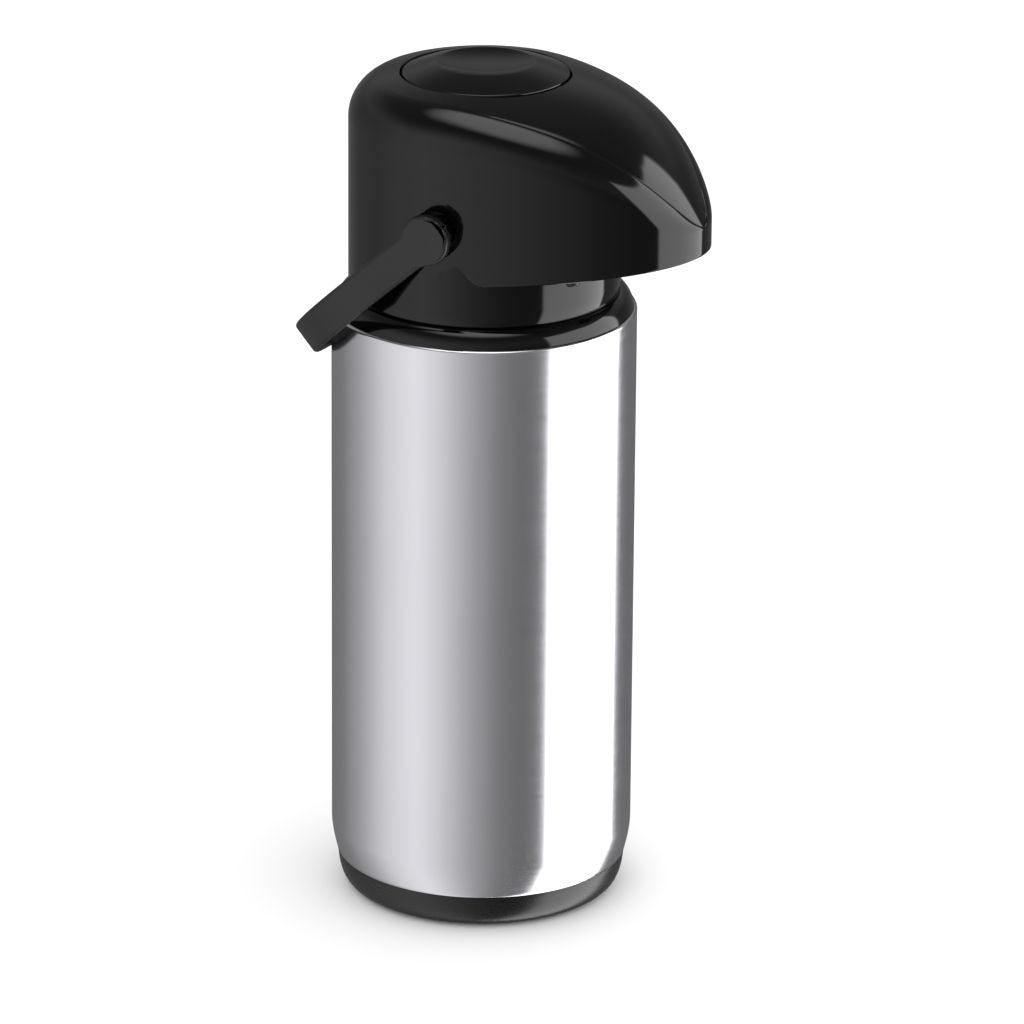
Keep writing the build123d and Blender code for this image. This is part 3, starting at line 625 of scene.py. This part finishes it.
def pivotCups():
    # the recess in the head's wall is a blind cup with the bearing in its floor
    z = headSize
    r, floor = z["recessRadius"], z["recessFloor"]
    lip, high = z["lipReach"], 60.0  # the lip lies on the wall round the recess and dies away into it
    rings = [(r - 0.1, high), (r - 0.1, floor + 0.8), (r - 0.8, floor), (6.2, floor), (5.95, floor - 0.3),
             (5.95, 42.2), (r + 2.0, 42.2), (r + 2.0, 49.0), (r + lip, 49.0)]
    rings += [(r + lip * step / 6, high) for step in (6, 5, 4, 3, 2, 1)] + [(r - 0.1, high)]
    cups = []
    for side in (-1, 1):
        cup = ringPiece("pivotCupLeft" if side < 0 else "pivotCupRight", rings, 72)
        turn = Matrix.Rotation(math.radians(90 * side), 4, "Y")
        cup.data.transform(Matrix.Translation((0, -z["pivotAhead"] * mm, z["pivotHeight"] * mm)) @ turn)
        for corner in cup.data.vertices:  # the lip follows the wall, and its hidden edge turns in behind it
            s = -corner.co.y / mm
            spread = fromPivot(corner.co)
            if abs(corner.co.x) > (high - 5) * mm:
                out = max(0.0, (spread - r) / lip)
                corner.co.x = side * (wallAside(s) + z["lipHigh"] * (1 - 1.3 * out)) * mm
            elif abs(corner.co.x) > 48 * mm and spread > r + lip - 0.1:
                corner.co.x = side * (wallAside(s) - 0.8) * mm
        pickOnly(cup)
        bpy.ops.object.shade_smooth_by_angle(angle=math.radians(30))
        cups.append(cup)
    return cups


for cup in pivotCups():
    dress(cup, "black_gloss", "head")
    cup.data.materials.append(satinBlack("recessBlack", recessLook))
    for face in cup.data.polygons:  # dull black inside, the wall's own gloss on the lip
        face.material_index = 1 if fromPivot(face.center) < headSize["recessRadius"] - 0.09 else 0
print("head made")

padSize = {"radius": 32.7, "edge": 337.7, "crown": 341.9, "dishRadius": 18.8, "dish": 339.9, "skirtLow": 314.0,
           "sides": 224}


def pushPad():
    p = padSize
    rise = p["crown"] - p["edge"]
    top = [(p["radius"], p["edge"] - 0.9)] + roundStretch(p["radius"] - 0.7, p["edge"] - 0.7, 0.7, 0, 80, 5)
    for i in range(1, 12):  # the collar of the pad swells up to the dish
        t = i / 12
        r = p["radius"] - 0.7 + (p["dishRadius"] + 0.7 - p["radius"] + 0.7) * t
        top.append((r, p["edge"] + rise * (1.22 * t - 0.22 * t * t)))
    rim = [(p["dishRadius"] + 0.55, p["crown"]), (p["dishRadius"] + 0.25, p["crown"] + 0.04),
           (p["dishRadius"] - 0.05, p["crown"] - 0.02), (p["dishRadius"] - 0.4, p["crown"] - 0.14)]
    dish = []
    for i in range(1, 12):
        t = i / 12
        r = (p["dishRadius"] - 0.4) * (1 - t)
        depth = p["crown"] - 0.14 - p["dish"]
        dish.append((r, p["dish"] + depth * (1 - t) ** 2.8))
    middle = [(0, p["dish"])]
    skirt = [(p["radius"] - 2.2, p["edge"] - 3.2), (p["radius"] - 2.2, p["skirtLow"] + 0.4),
             (p["radius"] - 1.8, p["skirtLow"]), (p["radius"] - 0.4, p["skirtLow"]),
             (p["radius"], p["skirtLow"] + 0.4)]
    stem = [(0.4, 334.4), (7.6, 334.4), (8.0, 334.8), (8.0, 337.0)]
    return ringPiece("pushPad", stem + skirt + top + rim + dish + middle, p["sides"])


dress(pushPad(), "black_gloss", "button", "push_pad")

pumpSize = {"low": 278.0, "high": 330.0, "inner": 20.0, "outer": 26.0, "wall": 1.2, "folds": 6, "flat": 1.6,
            "wire": 1.6, "coilRadius": 14.0, "coils": 7, "travel": 22.0}


def bellowsSkin():
    p = pumpSize
    pitch = (p["high"] - p["low"]) / p["folds"]
    folds = [(p["outer"], p["low"])]
    for number in range(p["folds"]):
        base = p["low"] + pitch * number
        folds += [(p["outer"], base + p["flat"]), (p["inner"], base + pitch / 2),
                  (p["outer"], base + pitch - p["flat"])]
    folds.append((p["outer"], p["high"]))
    inside = [(r - p["wall"], z) for r, z in reversed(folds)]
    return ringPiece("bellowsSkin", folds + inside + folds[:1], 96)


def coilSpring():
    # a small circle of wire is screwed up round the axis
    p = pumpSize
    low, high = p["low"] + p["wire"], p["high"] - p["wire"]
    bpy.ops.mesh.primitive_circle_add(
        vertices=14, radius=p["wire"] / 2 * mm, location=(p["coilRadius"] * mm, 0, low * mm),
        rotation=(math.pi / 2, 0, 0),
    )
    spring = bpy.context.object
    spring.name = spring.data.name = "coilSpring"
    bpy.ops.object.transform_apply(location=True, rotation=True, scale=True)
    wind = spring.modifiers.new("wind", "SCREW")
    wind.steps = wind.render_steps = 44
    wind.iterations, wind.screw_offset = p["coils"], (high - low) / p["coils"] * mm
    applyModifiers(spring)
    editAll(spring)
    bpy.ops.mesh.fill_holes(sides=0)
    backToObject()
    tidyMesh(spring, 40)
    return spring


for piece, slotName, node in ((bellowsSkin(), "natural_plastic", "bellows"),
                              (coilSpring(), "spring_steel", "return_spring")):
    dress(piece, slotName, "head", node)
    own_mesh(piece)
print("push pad and pump made")


bailSize = {"outside": 63.0, "thick": 4.8, "width": 14.0, "arm": 34.0, "eye": 10.0, "edge": 1.7, "blend": 9.0,
            "droop": 41.5, "pivotHeight": 286.8, "pivotAhead": 3.5, "trunnion": 5.9, "rows": 132, "strands": 8}


def blendCentre():
    # where the hollow blend from the eye to the straight arm has its centre, measured along the arm
    b = bailSize
    return math.sqrt((b["eye"] + b["blend"]) ** 2 - (b["width"] / 2 + b["blend"]) ** 2)


def bailHalfWidth(along):
    # half the strip's width, measured along it from the pivot: round eye, hollow blend, straight arm
    b = bailSize
    eye, half, blend = b["eye"], b["width"] / 2, b["blend"]
    joinA = blendCentre()
    touch = joinA * eye / (eye + blend)
    if along <= touch:
        return math.sqrt(max(0.0, eye**2 - along**2))
    if along < joinA:
        return half + blend - math.sqrt(blend**2 - (joinA - along) ** 2)
    return half


def bailHandle():
    # a flat strip with rounded ends is thickened, its edges are rounded, and it is bent into the loop
    b = bailSize
    middleR = b["outside"] - b["thick"] / 2
    total = 2 * b["arm"] + math.pi * middleR
    joinA = blendCentre()
    ends = [-b["eye"] * math.cos(math.pi * i / 28) for i in range(15)]
    ends += [joinA * i / 12 for i in range(1, 13)]
    span = total - 2 * joinA
    middle = [joinA + span * i / b["rows"] for i in range(1, b["rows"])]
    stations = ends + middle + [total - a for a in reversed(ends)]
    bpy.ops.mesh.primitive_grid_add(x_subdivisions=len(stations) - 1, y_subdivisions=b["strands"], size=1)
    bail = bpy.context.object
    bail.name = bail.data.name = "bailHandle"
    for corner in bail.data.vertices:
        along = stations[round((corner.co.x + 0.5) * (len(stations) - 1))]
        half = bailHalfWidth(min(along, total - along))
        corner.co = (along * mm, corner.co.y * 2 * half * mm, -b["thick"] / 2 * mm)
    editAll(bail)
    bpy.ops.mesh.remove_doubles(threshold=0.00001)
    bpy.ops.mesh.select_all(action="SELECT")
    bpy.ops.mesh.extrude_region_move(TRANSFORM_OT_translate={"value": (0, 0, b["thick"] * mm)})
    bpy.ops.mesh.select_all(action="SELECT")
    bpy.ops.mesh.normals_make_consistent(inside=False)
    bpy.ops.mesh.select_all(action="DESELECT")
    bpy.ops.mesh.edges_select_sharp(sharpness=math.radians(60))
    bpy.ops.mesh.bevel(offset=b["edge"] * mm, segments=5, profile=0.5, affect="EDGES")
    backToObject()
    for corner in bail.data.vertices:  # bend the strip: arm, half circle, arm
        along, aside, out = (c / mm for c in corner.co)
        along = max(-b["eye"], min(total + b["eye"], along))
        half = bailHalfWidth(min(along, total - along))  # nothing stands past the strip's outline
        aside = max(-half, min(half, aside))
        if along < b["arm"]:
            x, y = middleR + out, along
        elif along > total - b["arm"]:
            x, y = -(middleR + out), total - along
        else:
            turn = (along - b["arm"]) / middleR
            x, y = (middleR + out) * math.cos(turn), b["arm"] + (middleR + out) * math.sin(turn)
        corner.co = Vector((x, y, aside)) * mm
    tidyMesh(bail, 40)
    return bail


def trunnion(side):
    b = bailSize
    inner = b["outside"] - b["thick"]
    r = b["trunnion"]
    rings = [(0.5, inner + 0.1), (r + 2.6, inner + 0.1), (r + 1.6, inner - 0.5), (r + 0.4, inner - 1.4),
             (r, inner - 2.6), (r, 41.9), (r - 1.2, 41.7), (r - 1.2, 40.7), (r - 0.6, 40.6), (r - 0.6, 40.3),
             (r - 1.4, 40.0), (0, 40.0)]
    post = ringPiece("trunnionPost", rings, 64)
    post.data.transform(Matrix.Rotation(math.radians(90 * side), 4, "Y"))
    return post


def wholeBail():
    bail = bailHandle()
    posts = [trunnion(-1), trunnion(1)]
    pickOnly(bail, *posts)
    bpy.ops.object.join()
    bail = bpy.context.object
    lift = Matrix.Translation((0, -bailSize["pivotAhead"] * mm, bailSize["pivotHeight"] * mm))
    bail.data.transform(lift @ Matrix.Rotation(math.radians(-bailSize["droop"]), 4, "X"))
    pickOnly(bail)
    bpy.ops.object.shade_smooth_by_angle(angle=math.radians(40))
    return bail


dress(wholeBail(), "black_satin", "bail", "bail_handle")
print("handle made")


studio = {"floorRadius": 30.0, "floorColour": (0.92, 0.92, 0.92)}


def paleFloor():
    bpy.ops.mesh.primitive_circle_add(vertices=96, radius=studio["floorRadius"], fill_type="NGON", location=(0, 0, 0))
    floor = bpy.context.object
    floor.name = "studioFloor"
    material, nodes, links, shader, place = newMaterial("paleFloor")
    tint = noiseOn(nodes, links, place, 3, 2)
    colour = studio["floorColour"]
    links.new(mixColour(nodes, links, tint, colour, tuple(c * 1.01 for c in colour)), shader.inputs["Base Color"])
    shader.inputs["Roughness"].default_value = 0.9
    shader.inputs["Specular IOR Level"].default_value = 0.1
    floor.data.materials.append(material)
    floor.visible_glossy = False


paleFloor()

cameraPlace = {"azimuth": -65.0, "distance": 2.7, "height": 1.1376, "aside": 0.0096, "pitch": 19.98, "roll": -0.45,
               "yaw": -0.04, "lens": 254.9}


def photographerCamera():
    c = cameraPlace
    azimuth = math.radians(c["azimuth"])
    back = Vector((math.sin(azimuth), -math.cos(azimuth), 0))
    right = Vector((math.cos(azimuth), math.sin(azimuth), 0))
    data = bpy.data.cameras.new("camera")
    camera = bpy.data.objects.new("camera", data)
    bpy.context.scene.collection.objects.link(camera)
    camera.location = back * c["distance"] + right * c["aside"] + Vector((0, 0, c["height"]))
    ahead = Matrix.Rotation(math.radians(c["yaw"]), 3, "Z") @ -back
    down = math.radians(c["pitch"])
    look = ahead * math.cos(down) - Vector((0, 0, 1)) * math.sin(down)
    pose = look.to_track_quat("-Z", "Y").to_matrix() @ Matrix.Rotation(math.radians(-c["roll"]), 3, "Z")
    camera.rotation_euler = pose.to_euler()
    data.sensor_width = 36.0
    data.lens = c["lens"]
    data.clip_start, data.clip_end = 0.05, 50
    bpy.context.scene.camera = camera


photographerCamera()

# What polished surfaces see, by degrees round from the camera: strength of the room's soft gradient.
# The softbox stands from "boxFrom" to "boxTo" and up to "boxTop"; the overhead panel fades in from "overheadLow"
# to "overheadHigh", both as the cosine of the angle from its middle.
room = {
    "gradient": ((-180, 0.15), (-132, 0.24), (-104, 0.47), (-78, 0.84), (-52, 1.05), (-35, 0.86), (-8, 0.46),
                 (12, 0.25), (30, 0.17), (180, 0.15)),
    "boxFrom": 51.0, "boxTo": 121.0, "boxEdge": 1.5, "boxStrength": 3.0, "boxTop": 0.56,
    "overheadLow": 0.84, "overheadHigh": 0.975, "overheadStrength": 2.6, "overheadLean": (-0.10, -0.02),
    "upper": 0.17, "horizonGlow": 0.12, "floorLight": 1.3,
}


def studioRoom():
    # a pale room: even light for matt surfaces, and soft panels for the polished ones to reflect
    world = bpy.data.worlds.new("studioRoom")
    bpy.context.scene.world = world
    world.use_nodes = True
    nodes, links = world.node_tree.nodes, world.node_tree.links
    azimuth = math.radians(cameraPlace["azimuth"])

    def maths(operation, first, second=None, third=None):
        node = nodes.new("ShaderNodeMath")
        node.operation = operation
        for slot, value in enumerate((first, second, third)):
            if value is None:
                continue
            if isinstance(value, (int, float)):
                node.inputs[slot].default_value = value
            else:
                links.new(value, node.inputs[slot])
        return node.outputs[0]

    def along(direction):
        node = nodes.new("ShaderNodeVectorMath")
        node.operation = "DOT_PRODUCT"
        links.new(place.outputs["Generated"], node.inputs[0])
        node.inputs[1].default_value = direction
        return node.outputs["Value"]

    def step(value, low, high):
        node = nodes.new("ShaderNodeMapRange")
        node.interpolation_type = "SMOOTHSTEP"
        node.inputs["From Min"].default_value = low
        node.inputs["From Max"].default_value = high
        links.new(value, node.inputs["Value"])
        return node.outputs["Result"]

    place = nodes.new("ShaderNodeTexCoord")
    back = (math.sin(azimuth), -math.cos(azimuth), 0)
    right = (math.cos(azimuth), math.sin(azimuth), 0)
    turn = maths("ARCTAN2", along(right), along(back))
    share = maths("MULTIPLY_ADD", turn, 0.5 / math.pi, 0.5)
    ramp = nodes.new("ShaderNodeValToRGB")
    stops = ramp.color_ramp.elements
    while len(stops) > 1:
        stops.remove(stops[-1])
    for number, (degrees, strength) in enumerate(room["gradient"]):
        stop = stops[0] if number == 0 else stops.new((degrees + 180) / 360)
        stop.position = (degrees + 180) / 360
        stop.color = (strength, strength, strength, 1)
    links.new(share, ramp.inputs["Fac"])
    edge = room["boxEdge"]
    degrees = maths("MULTIPLY", turn, 180 / math.pi)
    up = along((0, 0, 1))
    boxOn = maths("MULTIPLY", step(degrees, room["boxFrom"] - edge, room["boxFrom"] + edge),
                  maths("SUBTRACT", 1.0, step(degrees, room["boxTo"] - edge, room["boxTo"] + edge)))
    boxOn = maths("MULTIPLY", boxOn, maths("SUBTRACT", 1.0, step(up, room["boxTop"] - 0.02, room["boxTop"] + 0.02)))
    sides = maths("ADD", ramp.outputs["Color"], maths("MULTIPLY", boxOn, room["boxStrength"]))
    upper = step(up, 0.15, 0.75)
    leanX, leanY = room["overheadLean"]
    overhead = step(along(Vector((leanX, leanY, 1)).normalized()), room["overheadLow"], room["overheadHigh"])
    above = maths("MULTIPLY", upper, maths("SUBTRACT", 1.0, boxOn))  # the soft upper part, clear of the softbox
    mixed = maths("ADD", maths("MULTIPLY", sides, maths("SUBTRACT", 1.0, above)),
                  maths("MULTIPLY", above, room["upper"]))
    mixed = maths("ADD", mixed, maths("MULTIPLY", overhead, room["overheadStrength"]))
    glow = maths("MULTIPLY", step(up, 0.15, 0.35), maths("SUBTRACT", 1.0, step(up, 0.4, 0.7)))
    mixed = maths("ADD", mixed, maths("MULTIPLY", glow, room["horizonGlow"]))
    seen = nodes.new("ShaderNodeLightPath")
    even = nodes["Background"]
    even.inputs["Color"].default_value = (1, 1, 1, 1)
    even.inputs["Strength"].default_value = room["floorLight"]
    panels = nodes.new("ShaderNodeBackground")
    panels.inputs["Color"].default_value = (0.99, 0.985, 1.0, 1)
    links.new(mixed, panels.inputs["Strength"])
    mix = nodes.new("ShaderNodeMixShader")
    links.new(seen.outputs["Is Glossy Ray"], mix.inputs["Fac"])
    links.new(even.outputs["Background"], mix.inputs[1])
    links.new(panels.outputs["Background"], mix.inputs[2])
    links.new(mix.outputs["Shader"], nodes["World Output"].inputs["Surface"])
    world.cycles.sampling_method = "NONE"


studioRoom()
bpy.context.scene.view_settings.view_transform = "Standard"
print("studio set")
